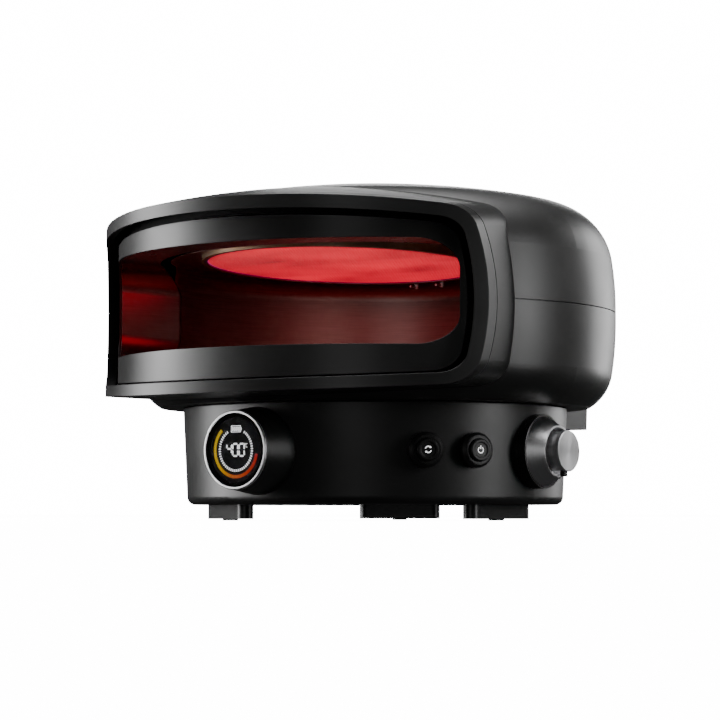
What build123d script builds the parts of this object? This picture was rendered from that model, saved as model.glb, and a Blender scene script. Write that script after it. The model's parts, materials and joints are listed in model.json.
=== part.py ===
"""Countertop gas pizza oven with a rotating stone, as separate pieces.

Units are millimetres. The origin lies on the surface the oven stands on, under the
vertical axis of the round body. +Z is up, the mouth faces -Y, the gas knob is at +X.
Angles named *_ANGLE are counted from the front (-Y) towards +X.
"""
import os
from math import acos, cos, pi, radians, sin, tan

from build123d import *

# ---- overall sizes -------------------------------------------------------------
BODY_R = 213.0             # widest radius of the round body
DRUM_H = 84.0              # height of the base drum
FOOT_H = 13.5              # from the floor to the underside of the drum
BODY_GAP = 1.2             # gasket between drum and body
NOMINAL_LOW = 98.7         # underside of the body for which the heights in the body are given
WALL = 2.0                 # thickness of the outer shells
BODY_HALF_LOW = 76.3       # from the underside of the body to the start of its waist
WAIST_H = 12.0             # straight, widest stretch of the body
FLANK_LOW_R = 312.0        # gentle curve below the waist
FLANK_LOW_TURN = 8.6
CORNER_LOW_R = 42.0        # tight curve down to the underside
FLANK_HIGH_R = 268.0       # gentle curve above the waist
FLANK_HIGH_TURN = 8.84
SHOULDER_R = 58.4          # tight curve into the roof
SHOULDER_TURN = 78.6
SEAM_DROP = 5.8            # the seam lies this far below the top of the waist
SEAM_GAP = 0.7

# ---- mouth, visor and bezel ------------------------------------------------------
RIM_REACH = 25.0           # the bezel's face stands this far in front of the body
BEZEL_DEPTH = 8.0
BEZEL_GAP = 1.0            # shadow line between bezel and visor
PLATE_SETBACK = 11.0       # from the bezel's face back to the mouth plate
VISOR_INSET = 10.0         # visor half width, less than the body radius, at the rim ends
VISOR_FLARE = 6.2          # degrees, widening towards the front
VISOR_ENDS = 114.0         # from the rim back to where the half width is measured
VISOR_TOP = 262.6
VISOR_RISE = 0.25          # slope of the visor roof where it starts at the rim
VISOR_ROOF_BEND = 0.0007
VISOR_BOTTOM = 103.5
VISOR_FALL = 0.06
VISOR_SILL_BEND = 0.00035
VISOR_CROWN_R = 715.0
VISOR_SILL_R = 2375.0
VISOR_SIDE_R = 260.0
VISOR_MID_Z = 178.0
VISOR_TOP_CORNER = 28.0
VISOR_LOW_CORNER = 25.0
VISOR_STATIONS = (-14, 38, 88, 138, 178)       # sections of the visor, back from the rim
RIM_SIDE, RIM_TOP, RIM_LOW = 8.4, 11.2, 9.8        # width of the bezel's face
PLATE_SIDE, PLATE_TOP, PLATE_LOW = 17.6, 18.3, 12.5
MOUTH_MARGIN = 21.0        # visor half width less the mouth's half width
MOUTH_LOW = 141.3
MOUTH_TALL = 85.4
MOUTH_CORNER = 24.0
MOUTH_BACK = 30.0          # the bar that cuts the mouth starts this far in front of the axis
GROOVE_DEPTH = 9.0         # of the groove round the mouth plate
GROOVE_BACK_T = 1.5
SHEET = 1.2                # thin stainless sheet

# ---- cavity and burner ----------------------------------------------------------
CAVITY_GAP = 23.0          # from the outside of the body to the cavity wall
CAVITY_CORNER = 20.0
CAVITY_CEILING = 230.0
CAVITY_FLOOR = 112.0
BURNER_R = 122.0
BURNER_AHEAD = 45.0        # the burner sits this far in front of the axis
BURNER_FACE = 223.0         # height of the tile's face at its middle
BURNER_TILT = 2.4          # degrees, the front of the burner is the higher side
PLAQUE_T = 13.0
BURNER_RIM = 3.0
BURNER_LIP = 1.2           # thickness of the lip that holds the tile
VENTURI_R = 11.0
VENTURI_L = 60.0
PIPE_R = 4.0

# ---- turntable and drive ----------------------------------------------------------
STONE_GAP = 25.0           # from the stone's edge to the cavity wall
STONE_T = 12.0
STONE_BOTTOM = 124.5
SHAFT_R = 5.0
RUNNING_FIT = 0.05
BUSH_WALL = 3.0
BUSH_L = 10.0
GEAR_MODULE = 2.0
GEAR_TEETH = 42
PINION_TEETH = 14
GEAR_T = 10.0
GEAR_BACKLASH = 0.5
GEAR_RISE = 26.0           # underside of the gears above the base floor
MOTOR_R = 18.5
MOTOR_H = 32.0
MOTOR_ANGLE = -45.0

# ---- base drum and what is in it -----------------------------------------------
DRUM_INSET = 43.6          # body radius less the drum's top radius
DRUM_DRAFT = 3.9           # top radius less bottom radius
DRUM_WALL = 2.5
DRUM_EDGE = 7.0
FLANGE_W = 17.0
PLATE_T = 1.5
FLOOR_T = 2.5
CONTROL_Z_SHARE = 44.7     # centre of the controls above the drum's underside
DISPLAY_BACK_R = 36.7
DISPLAY_FACE_R = 32.8
DISPLAY_REACH = 29.5       # the face stands this far out of the drum
DISPLAY_RING_W = 2.2
BUTTON_ANGLES = {"rotate": 50.0, "power": 65.0}
BUTTON_BEZEL_R = 14.7
BUTTON_BEZEL_H = 9.0
BUTTON_RING_R = 11.6
BUTTON_CAP_R = 9.5
BUTTON_GAP = 0.25
BUTTON_REACH = 12.6
KNOB_SKIRT_R = 31.3
KNOB_SKIRT_H = 9.5
KNOB_CONE_R = 29.4
KNOB_CONE_H = 13.5
KNOB_CONE_TIP_R = 21.8
KNOB_GRIP_R = 17.3
KNOB_REACH = 33.4
KNOB_FACE_T = 3.2
KNOB_TRAVEL = 3.0
STEM_R = 3.0
SCREW_HEAD_R = 2.8
SCREW_HEAD_H = 1.6
FOOT_RING_R = 138.0
FOOT_ANGLES = {"left": -28.5, "right": 84.0, "rear": 206.4}
FOOT_L = {"left": 80.0, "right": 80.0, "rear": 76.0}
FOOT_W = 14.0
PAD_R = 6.7
PAD_H = 1.5
PAD_SINK = 2.0
BATTERY_R = 16.5
BATTERY_L = 60.0
BATTERY_ANGLE = -125.0
BATTERY_DOOR_GAP = 0.5
REAR_BOX_W = 170.0
REAR_BOX_H = 14.6          # below the underside of the body
REAR_BOX_RISE = 10.0       # above it, closing against the curve of the body
REAR_BOX_REACH = 9.0       # how far the box stands out behind the body
INLET_R = 6.5
INLET_NECK_R = 5.5
FIT = 0.3                  # clearance between pieces that only lie side by side

# ---- places that follow from the sizes above -----------------------------------------
DRUM_TOP = FOOT_H + DRUM_H
BODY_LOW = DRUM_TOP + BODY_GAP
WAIST_LOW = BODY_LOW + BODY_HALF_LOW
WAIST_HIGH = WAIST_LOW + WAIST_H
SEAM_Z = WAIST_HIGH - SEAM_DROP
LIFT = BODY_LOW - NOMINAL_LOW
RIM_R = BODY_R + RIM_REACH
PLATE_R = RIM_R - PLATE_SETBACK
MOUTH_HALF = BODY_R - VISOR_INSET - MOUTH_MARGIN + 0.3
CAVITY_R = BODY_R - CAVITY_GAP
STONE_R = CAVITY_R - STONE_GAP
DRUM_R = BODY_R - DRUM_INSET
CONTROL_Z = FOOT_H + CONTROL_Z_SHARE
BASE_FLOOR_Z = FOOT_H + FLOOR_T
BASE_TOP_Z = BASE_FLOOR_Z + FLOOR_T
GEAR_Z = BASE_TOP_Z + GEAR_RISE
BODY_PLATE_Z = BODY_LOW + PLATE_T
GEAR_CENTRES = GEAR_MODULE * (GEAR_TEETH + PINION_TEETH) / 2 + 0.1
HUGE = 4 * BODY_R


# ---- shapes used throughout ------------------------------------------------------------
def disc(radius, low, high, x=0.0, y=0.0):
    """Upright cylinder between two heights."""
    return Pos(x, y, (low + high) / 2) * Cylinder(radius, high - low)


def ring(outer, inner, low, high, x=0.0, y=0.0):
    """Upright tube between two heights."""
    return disc(outer, low, high, x, y) - disc(inner, low - 1, high + 1, x, y)


def block(x0, x1, y0, y1, z0, z1):
    """Box between two corners."""
    return Pos((x0 + x1) / 2, (y0 + y1) / 2, (z0 + z1) / 2) * Box(x1 - x0, y1 - y0, z1 - z0)


def facing(angle, radius, height):
    """Plane on the drum at an angle from the front; its normal points outwards."""
    turn = radians(angle)
    outward = (sin(turn), -cos(turn), 0)
    along = (cos(turn), sin(turn), 0)
    origin = (radius * outward[0], radius * outward[1], height)
    return Plane(origin=origin, x_dir=along, z_dir=outward)


def turned(points):
    """Solid of revolution about Z from a closed outline of (radius, height) points."""
    outline = Polyline(*[(r, 0, z) for r, z in points], close=True)
    return revolve(make_face(outline), Axis.Z)


def profile_arc(centre, radius, start, end):
    """Arc in the XZ plane, angles in degrees from +X."""
    spots = [radians(a) for a in (start, (start + end) / 2, end)]
    return ThreePointArc(*[(centre[0] + radius * cos(a), 0, centre[1] + radius * sin(a)) for a in spots])


def coil(radius, wire_r, height, turns):
    """Helical spring standing on the XY plane."""
    path = Helix(pitch=(height - 2 * wire_r) / turns, height=height - 2 * wire_r, radius=radius)
    section = Plane(origin=path @ 0, z_dir=path % 0) * Circle(wire_r)
    return Pos(0, 0, wire_r) * sweep(section, path=path)


def screw(radius, length, head_r, head_h):
    """Pan-head screw: head below the XY plane, shank up, with a cross recess."""
    head = Pos(0, 0, -head_h / 2) * Cylinder(head_r, head_h)
    shank = Pos(0, 0, length / 2) * Cylinder(radius, length)
    slot = Pos(0, 0, -head_h) * (Box(head_r * 1.2, 0.8, head_h) + Box(0.8, head_r * 1.2, head_h))
    return head + shank - slot


def around(count, radius, first=0.0):
    """Points on a circle, the first at an angle from +X."""
    steps = [radians(first + 360 * i / count) for i in range(count)]
    return [(radius * cos(a), radius * sin(a)) for a in steps]


# ---- round body ---------------------------------------------------------------------------
def body_solid(inset, low):
    """The round body as one solid, its skin moved inwards by inset, cut off at a height."""
    c_low = (BODY_R - FLANK_LOW_R, WAIST_LOW)
    turn = radians(FLANK_LOW_TURN)
    reach = FLANK_LOW_R - CORNER_LOW_R
    c_corner = (c_low[0] + reach * cos(turn), c_low[1] - reach * sin(turn))
    c_high = (BODY_R - FLANK_HIGH_R, WAIST_HIGH)
    turn = radians(FLANK_HIGH_TURN)
    reach = FLANK_HIGH_R - SHOULDER_R
    c_shoulder = (c_high[0] + reach * cos(turn), c_high[1] + reach * sin(turn))
    roof_r = c_shoulder[0] / cos(radians(SHOULDER_TURN)) + SHOULDER_R
    turn = radians(SHOULDER_TURN)
    c_roof = (0.0, c_shoulder[1] + (SHOULDER_R - roof_r) * sin(turn))
    end = -90.0
    upright = profile_arc(c_corner, CORNER_LOW_R - inset, -FLANK_LOW_TURN, end)
    edges = [
        profile_arc(c_roof, roof_r - inset, 90, SHOULDER_TURN),
        profile_arc(c_shoulder, SHOULDER_R - inset, SHOULDER_TURN, FLANK_HIGH_TURN),
        profile_arc(c_high, FLANK_HIGH_R - inset, FLANK_HIGH_TURN, 0),
        Line((BODY_R - inset, 0, WAIST_HIGH), (BODY_R - inset, 0, WAIST_LOW)),
        profile_arc(c_low, FLANK_LOW_R - inset, 0, -FLANK_LOW_TURN),
        upright,
        Line(upright @ 1, (0, 0, (upright @ 1).Z)),
        Line((0, 0, (upright @ 1).Z), (0, 0, c_roof[1] + roof_r - inset)),
    ]
    whole = revolve(make_face(edges), Axis.Z)
    return whole & block(-HUGE, HUGE, -HUGE, HUGE, low, HUGE)


# ---- visor: the tube that runs forward from the body to the bezel ------------------------
def visor_section(ahead, side, top, low, corner_cut):
    """Cross-section of the visor at a distance in front of the axis, with insets."""
    run = RIM_R - ahead
    half = BODY_R - VISOR_INSET + (ahead - RIM_R + VISOR_ENDS) * tan(radians(VISOR_FLARE)) - side
    roof = VISOR_TOP + LIFT + VISOR_RISE * run - VISOR_ROOF_BEND * run**2 - top
    sill = VISOR_BOTTOM + LIFT - VISOR_FALL * run + VISOR_SILL_BEND * run**2 + low
    mid = VISOR_MID_Z + LIFT
    high_z = roof - half**2 / (2 * VISOR_CROWN_R)
    low_z = sill + half**2 / (2 * VISOR_SILL_R)
    high_x = half - (high_z - mid) ** 2 / (2 * VISOR_SIDE_R)
    low_x = half - (mid - low_z) ** 2 / (2 * VISOR_SIDE_R)
    y = -ahead
    edges = [
        ThreePointArc((-high_x, y, high_z), (0, y, roof), (high_x, y, high_z)),
        ThreePointArc((high_x, y, high_z), (half, y, mid), (low_x, y, low_z)),
        ThreePointArc((low_x, y, low_z), (0, y, sill), (-low_x, y, low_z)),
        ThreePointArc((-low_x, y, low_z), (-half, y, mid), (-high_x, y, high_z)),
    ]
    face = make_face(edges)
    face = fillet(face.vertices().sort_by(Axis.Z)[-2:], VISOR_TOP_CORNER - corner_cut)
    return fillet(face.vertices().sort_by(Axis.Z)[:2], VISOR_LOW_CORNER - corner_cut)


def visor_solid(side=0.0, top=0.0, low=0.0, corner_cut=0.0):
    """The visor as a solid bar, longer than needed at both ends."""
    stations = [RIM_R - back for back in VISOR_STATIONS]
    return loft([visor_section(s, side, top, low, corner_cut) for s in stations])


def mouth_bar(grow=0.0):
    """Bar with the outline of the mouth opening, reaching from the cavity past the bezel."""
    middle = MOUTH_LOW + LIFT + MOUTH_TALL / 2
    size = (2 * (MOUTH_HALF + grow), MOUTH_TALL + 2 * grow, MOUTH_CORNER + grow)
    outline = Plane.XZ.offset(MOUTH_BACK) * Pos(0, middle) * RectangleRounded(*size)
    return extrude(outline, RIM_R)


def between(outer, inner):
    """Upright tube as tall as the whole oven."""
    return ring(outer, inner, 0, 2 * BODY_R)


BODY = body_solid(0, BODY_LOW)
BODY_INSIDE = body_solid(WALL, BODY_LOW + PLATE_T)
VISOR = visor_solid()
VISOR_INSIDE = visor_solid(WALL, WALL, WALL, WALL)
RISER_Y = BODY_R - 14.0
PIPE_Z = BODY_LOW - 8.2
SCREW_RING_R = DRUM_R - FLANGE_W + 4.2
BODY_SCREWS = around(6, SCREW_RING_R)
BASE_SCREWS = around(6, SCREW_RING_R, 30)
FLANGE_IN_R = DRUM_R - FLANGE_W


def screw_holes(shape, places, radius, low, high):
    """Drill one upright hole at each place."""
    for x, y in places:
        shape -= disc(radius, low, high, x, y)
    return shape


def upper_shell():
    """Domed top half of the casing, open at the front where the visor joins."""
    half = BODY & block(-HUGE, HUGE, -HUGE, HUGE, SEAM_Z + SEAM_GAP / 2, HUGE)
    return half - BODY_INSIDE - VISOR_INSIDE


def lower_shell():
    """Bottom half of the casing with its floor flange and the lip that locates the top."""
    half = BODY & block(-HUGE, HUGE, -HUGE, HUGE, 0, SEAM_Z - SEAM_GAP / 2)
    half = half - BODY_INSIDE - disc(FLANGE_IN_R, 0, BODY_LOW + 5)
    lip_r = BODY_R - WALL
    half += ring(lip_r, lip_r - 1.5, WAIST_LOW + 0.5, SEAM_Z - SEAM_GAP / 2)
    half += ring(lip_r - 0.15, lip_r - 1.5, SEAM_Z - SEAM_GAP / 2, WAIST_HIGH - 0.5)
    half -= disc(PIPE_R + 1, 0, BODY_LOW + 30, 0, RISER_Y)
    half = screw_holes(half, BODY_SCREWS, 2.1, 0, BODY_LOW + 5)
    return half - VISOR_INSIDE


def front_visor():
    """Sleeve that carries the mouth forward of the round body."""
    front = VISOR & disc(RIM_R - BEZEL_DEPTH - BEZEL_GAP, 0, 2 * BODY_R)
    return front - VISOR_INSIDE - BODY


def front_bezel():
    """Curved frame round the mouth, with a lip that plugs into the visor."""
    face = VISOR - visor_solid(RIM_SIDE, RIM_TOP, RIM_LOW, 6)
    face &= between(RIM_R, RIM_R - BEZEL_DEPTH)
    lip = visor_solid(WALL + 0.1, WALL + 0.1, WALL + 0.1, WALL)
    lip = lip - visor_solid(2 * WALL, 2 * WALL, 2 * WALL, 2 * WALL)
    return face + (lip & between(RIM_R - BEZEL_DEPTH, RIM_R - 2 * BEZEL_DEPTH))


def mouth_plate():
    """Curved plate set back inside the bezel, with a skirt round its edge."""
    outline = visor_solid(PLATE_SIDE, PLATE_TOP, PLATE_LOW, 5)
    inner = visor_solid(PLATE_SIDE + WALL, PLATE_TOP + WALL, PLATE_LOW + WALL, 7)
    face = outline & between(PLATE_R, PLATE_R - WALL)
    skirt = (outline - inner) & between(PLATE_R - WALL, PLATE_R - GROOVE_DEPTH)
    return (face - mouth_bar()) + (skirt - mouth_bar(SHEET + FIT))


def mouth_frame():
    """Back of the groove between the bezel and the mouth plate."""
    back = between(PLATE_R - GROOVE_DEPTH, PLATE_R - GROOVE_DEPTH - GROOVE_BACK_T)
    return (VISOR_INSIDE & back) - mouth_bar(SHEET)


def mouth_throat():
    """Stainless tunnel from the mouth plate to the cavity."""
    return (mouth_bar(SHEET) - mouth_bar()) & between(PLATE_R - WALL, CAVITY_R)


# ---- cavity --------------------------------------------------------------------------------
FLOOR_Z = CAVITY_FLOOR + LIFT
CEILING_Z = CAVITY_CEILING + LIFT
BURNER_Z = BURNER_FACE + LIFT
BURNER_OUT_R = BURNER_R + BURNER_RIM
VENTURI_Z = CEILING_Z + SHEET + VENTURI_R + 0.5
BURNER_DROP = BURNER_OUT_R * sin(radians(BURNER_TILT))      # of the rear edge below the middle
BURNER_TOP = VENTURI_Z + VENTURI_R + 1.5 + BURNER_DROP
PROBES = (-14.0, 14.0)      # spark electrode and flame probe, sideways from the middle
PROBE_Y = BURNER_OUT_R - BURNER_AHEAD + 4.5
PROBE_R = 2.0


def tilted(shape):
    """A piece of the burner, leaned about the middle of the tile's face."""
    pivot = Pos(0, -BURNER_AHEAD, BURNER_Z)
    return pivot * Rot(-BURNER_TILT, 0, 0) * pivot.inverse() * shape


def pot(radius, low, high, corner):
    """Upright cylinder with its top edge rounded."""
    solid = disc(radius, low, high)
    return fillet(solid.edges().sort_by(Axis.Z)[-1:], corner)


def cavity_liner():
    """Stainless wall and ceiling of the baking space."""
    liner = pot(CAVITY_R + SHEET, FLOOR_Z, CEILING_Z + SHEET, CAVITY_CORNER + SHEET)
    liner -= pot(CAVITY_R, FLOOR_Z - 1, CEILING_Z, CAVITY_CORNER)
    liner -= tilted(disc(BURNER_OUT_R + FIT, BURNER_Z - 20, BURNER_TOP, 0, -BURNER_AHEAD))
    for x in PROBES:
        liner -= disc(PROBE_R + FIT, CEILING_Z - 5, CEILING_Z + 5, x, PROBE_Y)
    return liner - mouth_bar(SHEET)


def cavity_floor():
    """Pan under the turntable."""
    return ring(CAVITY_R - FIT, SHAFT_R + 3, FLOOR_Z, FLOOR_Z + SHEET)


def side_insulation():
    """Blanket round the cavity wall, open at the front and for the gas riser."""
    inner = CAVITY_R + SHEET + 0.5
    blanket = ring(inner + 8, inner, FLOOR_Z + 6, CEILING_Z - CAVITY_CORNER - 4)
    blanket &= block(-HUGE, HUGE, -40, HUGE, 0, HUGE)
    return blanket - block(-PIPE_R - 3, PIPE_R + 3, RISER_Y - PIPE_R - 1, HUGE, 0, HUGE)


def floor_insulation():
    """Board between the bottom plate and the cavity floor."""
    low = BODY_PLATE_Z + PLATE_T
    return ring(BODY_R - 29, 12, low + FIT, FLOOR_Z - 0.5)


def bottom_plate():
    """Steel disc that carries the bearing and the motor and closes the body."""
    plate = ring(BODY_R - 29, SHAFT_R + 4, BODY_PLATE_Z, BODY_PLATE_Z + PLATE_T)
    return screw_holes(plate, BODY_SCREWS, 2.1, BODY_PLATE_Z - 1, BODY_PLATE_Z + 5)


# ---- burner ------------------------------------------------------------------------------------
def burner_plaque():
    """Ceramic tile that glows under the ceiling."""
    return tilted(disc(BURNER_R - 0.2, BURNER_Z, BURNER_Z + PLAQUE_T, 0, -BURNER_AHEAD))


def burner_ring():
    """Metal frame that holds the tile from below."""
    low, high = BURNER_Z - BURNER_LIP, BURNER_Z + PLAQUE_T + 2
    wall = ring(BURNER_OUT_R, BURNER_R, low, high, 0, -BURNER_AHEAD)
    lip = ring(BURNER_R + 1, BURNER_R - 2, low, BURNER_Z, 0, -BURNER_AHEAD)
    return tilted(wall + lip) - along_y(VENTURI_R, 0, HUGE, VENTURI_Z)


def burner_box():
    """Gas chamber above the tile."""
    low = BURNER_Z + PLAQUE_T + 2
    box = disc(BURNER_OUT_R, low, BURNER_TOP, 0, -BURNER_AHEAD)
    box -= disc(BURNER_OUT_R - SHEET, low - 1, BURNER_TOP - SHEET, 0, -BURNER_AHEAD)
    return tilted(box) - along_y(VENTURI_R, 0, HUGE, VENTURI_Z)


def along_y(radius, y0, y1, z, x=0.0):
    """Cylinder along Y between two places."""
    return Pos(x, (y0 + y1) / 2, z) * Rot(90, 0, 0) * Cylinder(radius, y1 - y0)


VENTURI_START = BURNER_OUT_R - BURNER_AHEAD - 3.0
VENTURI_END = VENTURI_START + VENTURI_L


def venturi_tube():
    """Mixing tube that feeds the gas chamber, with air slots at its far end."""
    tube = along_y(VENTURI_R, VENTURI_START, VENTURI_END, VENTURI_Z)
    tube -= along_y(VENTURI_R - 1, VENTURI_START - 1, VENTURI_END - 2, VENTURI_Z)
    tube -= along_y(5.0, VENTURI_END - 5, VENTURI_END + 1, VENTURI_Z)
    slot_low = VENTURI_END - 16
    return tube - block(-HUGE, HUGE, slot_low, slot_low + 8, VENTURI_Z - 3, VENTURI_Z + 3)


def burner_probes():
    """Spark electrode and flame probe: rods beside the burner, tips bent under its rim."""
    low = BURNER_Z - 5.5 - BURNER_DROP
    rods = []
    for x in PROBES:
        rod = disc(PROBE_R, low, BURNER_TOP, x, PROBE_Y)
        rods.append(rod + along_y(1.0, PROBE_Y - 10, PROBE_Y, low + 1.5, x))
    return Compound(children=rods)


def pipe(points, bend_r):
    """Bent metal pipe along straight runs."""
    path = FilletPolyline(*points, radius=bend_r)
    start = Plane(origin=path @ 0, z_dir=path % 0)
    return sweep(start * (Circle(PIPE_R) - Circle(PIPE_R - 1)), path=path)


# ---- turntable and its drive ----------------------------------------------------------------------
def tooth_outline(teeth, tooth_turn):
    """Outline points of an involute gear; tooth_turn is the angle of its first tooth."""
    pitch_r = GEAR_MODULE * teeth / 2
    base_r = pitch_r * cos(radians(20))
    rolled = tan(radians(20)) - radians(20)
    half_pitch = pi / (2 * teeth) - GEAR_BACKLASH / (4 * pitch_r)
    radii = [pitch_r - 1.25 * GEAR_MODULE, base_r, pitch_r, pitch_r + GEAR_MODULE]
    flank = []
    for r in sorted(radii):
        slope = acos(min(1.0, base_r / r))
        flank.append((r, half_pitch + rolled - (tan(slope) - slope)))
    points = []
    for tooth in range(teeth):
        middle = tooth_turn + 2 * pi * tooth / teeth
        points += [(r * cos(middle - a), r * sin(middle - a)) for r, a in flank]
        points += [(r * cos(middle + a), r * sin(middle + a)) for r, a in reversed(flank)]
    return points


def gear(teeth, tooth_turn, bore_r, x=0.0, y=0.0):
    """Spur gear at the height of the drive."""
    outline = Polyline(*tooth_outline(teeth, tooth_turn), close=True)
    wheel = Pos(x, y, GEAR_Z) * extrude(make_face(outline), GEAR_T)
    return wheel - disc(bore_r, 0, HUGE, x, y)


MOTOR_TURN = radians(MOTOR_ANGLE)
MOTOR_X = GEAR_CENTRES * sin(MOTOR_TURN)
MOTOR_Y = -GEAR_CENTRES * cos(MOTOR_TURN)
MESH_TURN = MOTOR_TURN - pi / 2          # direction from the shaft to the motor
BRACKET_Z = GEAR_Z + GEAR_T + 3
MOTOR_Z = BRACKET_Z + FLOOR_T
HOUSING_R = SHAFT_R + BUSH_WALL + 2.5
BUSH_R = SHAFT_R + BUSH_WALL
MOTOR_SHAFT_R = 3.0


def drive_gear():
    """Large gear on the turntable shaft, lightened by round holes."""
    wheel = gear(GEAR_TEETH, MESH_TURN, SHAFT_R)
    reach = GEAR_MODULE * GEAR_TEETH / 2 - 19
    return screw_holes(wheel, around(6, reach), 7.0, 0, HUGE)


def motor_pinion():
    """Motor pinion on its output shaft; a gap faces the large gear's tooth."""
    turn = MESH_TURN + pi + pi / PINION_TEETH
    pinion = gear(PINION_TEETH, turn, MOTOR_SHAFT_R, MOTOR_X, MOTOR_Y)
    return pinion + disc(MOTOR_SHAFT_R, GEAR_Z - 2, MOTOR_Z + 6, MOTOR_X, MOTOR_Y)


def gear_motor():
    """Gear motor, shaft down, with its terminals on top."""
    motor = disc(MOTOR_R, MOTOR_Z, MOTOR_Z + MOTOR_H, MOTOR_X, MOTOR_Y)
    motor -= disc(MOTOR_SHAFT_R + RUNNING_FIT, MOTOR_Z - 1, MOTOR_Z + 8, MOTOR_X, MOTOR_Y)
    top = MOTOR_Z + MOTOR_H
    for side in (-1, 1):
        x = MOTOR_X + side * 8
        motor += block(x - 1.5, x + 1.5, MOTOR_Y - 0.5, MOTOR_Y + 0.5, top, top + 4)
    return motor


def motor_bracket():
    """Plate under the motor, hung from the bottom plate by two posts."""
    half = MOTOR_R + 6
    plate = block(MOTOR_X - half, MOTOR_X + half, MOTOR_Y - half, MOTOR_Y + half, BRACKET_Z, MOTOR_Z)
    plate -= disc(MOTOR_SHAFT_R + 1, 0, HUGE, MOTOR_X, MOTOR_Y)
    plate -= disc(HOUSING_R + 3, 0, HUGE)
    for side in (-1, 1):
        x, y = MOTOR_X + side * (half - 5), MOTOR_Y - side * (half - 5)
        plate += disc(4.0, BRACKET_Z, BODY_PLATE_Z, x, y)
    return plate


def bearing_housing():
    """Flanged tube under the bottom plate that holds the two bushes."""
    tube = disc(HOUSING_R, BRACKET_Z, BODY_PLATE_Z) + disc(24, BODY_PLATE_Z - 3.5, BODY_PLATE_Z)
    return tube - disc(BUSH_R, 0, HUGE)


def shaft_bushes():
    """Two plain bronze bushes in the bearing housing."""
    lows = (BRACKET_Z, BODY_PLATE_Z - BUSH_L - 4)
    return Compound(children=[ring(BUSH_R, SHAFT_R + RUNNING_FIT, z, z + BUSH_L) for z in lows])


def turntable_shaft():
    """Steel shaft from the large gear up to the carrier."""
    return disc(SHAFT_R, GEAR_Z - 3, STONE_BOTTOM + LIFT - 3)


def turntable_carrier():
    """Hub with three arms that carry the stone on raised pads."""
    top = STONE_BOTTOM + LIFT
    hub = disc(16, FLOOR_Z + SHEET + 4, top) - disc(SHAFT_R, 0, top - 3)
    reach = STONE_R - 15
    for index in range(3):
        arm = block(10, reach, -7, 7, top - 5.5, top - 1.5) + block(reach - 12, reach, -7, 7, top - 5.5, top)
        hub += Rot(0, 0, 30 + 120 * index) * arm
    return hub


def pizza_stone():
    """Round cordierite stone."""
    stone = disc(STONE_R, STONE_BOTTOM + LIFT, STONE_BOTTOM + LIFT + STONE_T)
    return fillet(stone.edges(), 1.5)


# ---- base drum ----------------------------------------------------------------------------------------
CONTROL_R = DRUM_R - DRUM_DRAFT * (1 - CONTROL_Z_SHARE / DRUM_H)
DRUM_LOW_R = DRUM_R - DRUM_DRAFT
REAR_BOX_BACK = BODY_R + REAR_BOX_REACH
INLET_X = 40.0
HINGE_T = 41.5             # battery door hinge, sideways from the middle of the door
DOOR_HALF_W = 37.0
DOOR_HALF_H = 20.0
HINGE_OUT = CONTROL_R - 0.6
PIN_R = 1.0
VALVE_BACK = CONTROL_R - 49.0
VALVE_FRONT = CONTROL_R - 15.0
FOOT_BOTTOM = PAD_H - 0.2


def drum_solid():
    """The drum as one tapered solid with its bottom edge rounded."""
    cone = Pos(0, 0, FOOT_H + DRUM_H / 2) * Cone(DRUM_LOW_R, DRUM_R, DRUM_H)
    return fillet(cone.edges().sort_by(Axis.Z)[:1], DRUM_EDGE)


def drum_shell():
    """Wall of the drum with a flange at the top and at the bottom."""
    low, high = BASE_FLOOR_Z, DRUM_TOP - FLOOR_T
    hollow = Pos(0, 0, (low + high) / 2) * Cone(DRUM_LOW_R - DRUM_WALL, DRUM_R - DRUM_WALL, high - low)
    return drum_solid() - hollow - disc(FLANGE_IN_R, 0, HUGE)


def door_block(gap=0.0):
    """Space of the battery door, in the drum's frame."""
    place = facing(BATTERY_ANGLE, CONTROL_R, CONTROL_Z)
    return place * Box(2 * (DOOR_HALF_W - gap), 2 * (DOOR_HALF_H - gap), 30)


def hinge_bar(low, high, radius):
    """Cylinder on the hinge line of the battery door, between two heights."""
    place = facing(BATTERY_ANGLE, HINGE_OUT, CONTROL_Z)
    return place * Pos(HINGE_T, (low + high) / 2, 0) * Rot(90, 0, 0) * Cylinder(radius, high - low)


def base_drum():
    """Drum that stands on the feet and holds the controls."""
    drum = drum_shell()
    drum -= facing(0, CONTROL_R, CONTROL_Z) * Cylinder(DISPLAY_FACE_R - 6, 30)
    for angle in BUTTON_ANGLES.values():
        drum -= facing(angle, CONTROL_R, CONTROL_Z) * Cylinder(BUTTON_CAP_R + 2.6, 30)
    drum -= facing(90, CONTROL_R, CONTROL_Z) * Cylinder(9.2, 30)
    drum -= door_block()
    for x in (0, INLET_X):
        drum -= along_y(PIPE_R + 1.5, 50, HUGE, PIPE_Z, x)
    for side in (-1, 1):
        low, high = sorted((side * 6.3, side * 12))
        place = facing(BATTERY_ANGLE, HINGE_OUT, CONTROL_Z)
        drum += place * Pos(HINGE_T, (low + high) / 2, -3.3) * Box(4.8, high - low, 6.6)
        drum += hinge_bar(low, high, 2.4)
    drum -= hinge_bar(-13, 13, PIN_R)
    drum = screw_holes(drum, BODY_SCREWS, 2.1, DRUM_TOP - 5, HUGE)
    drum = screw_holes(drum, BASE_SCREWS, SCREW_HEAD_R + FIT, 0, FOOT_H + SCREW_HEAD_H)
    return screw_holes(drum, BASE_SCREWS, 1.6, 0, BASE_FLOOR_Z + 1)


def base_floor():
    """Disc that closes the drum from inside, with posts for the control board."""
    floor = disc(DRUM_LOW_R - DRUM_WALL - 1.5, BASE_FLOOR_Z, BASE_TOP_Z)
    for x in (-31, 31):
        for y in (-26, 26):
            floor += disc(3.0, BASE_TOP_Z, BASE_TOP_Z + 5, BOARD_X + x, BOARD_Y + y)
    return screw_holes(floor, BASE_SCREWS, 1.5, 0, HUGE)


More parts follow.
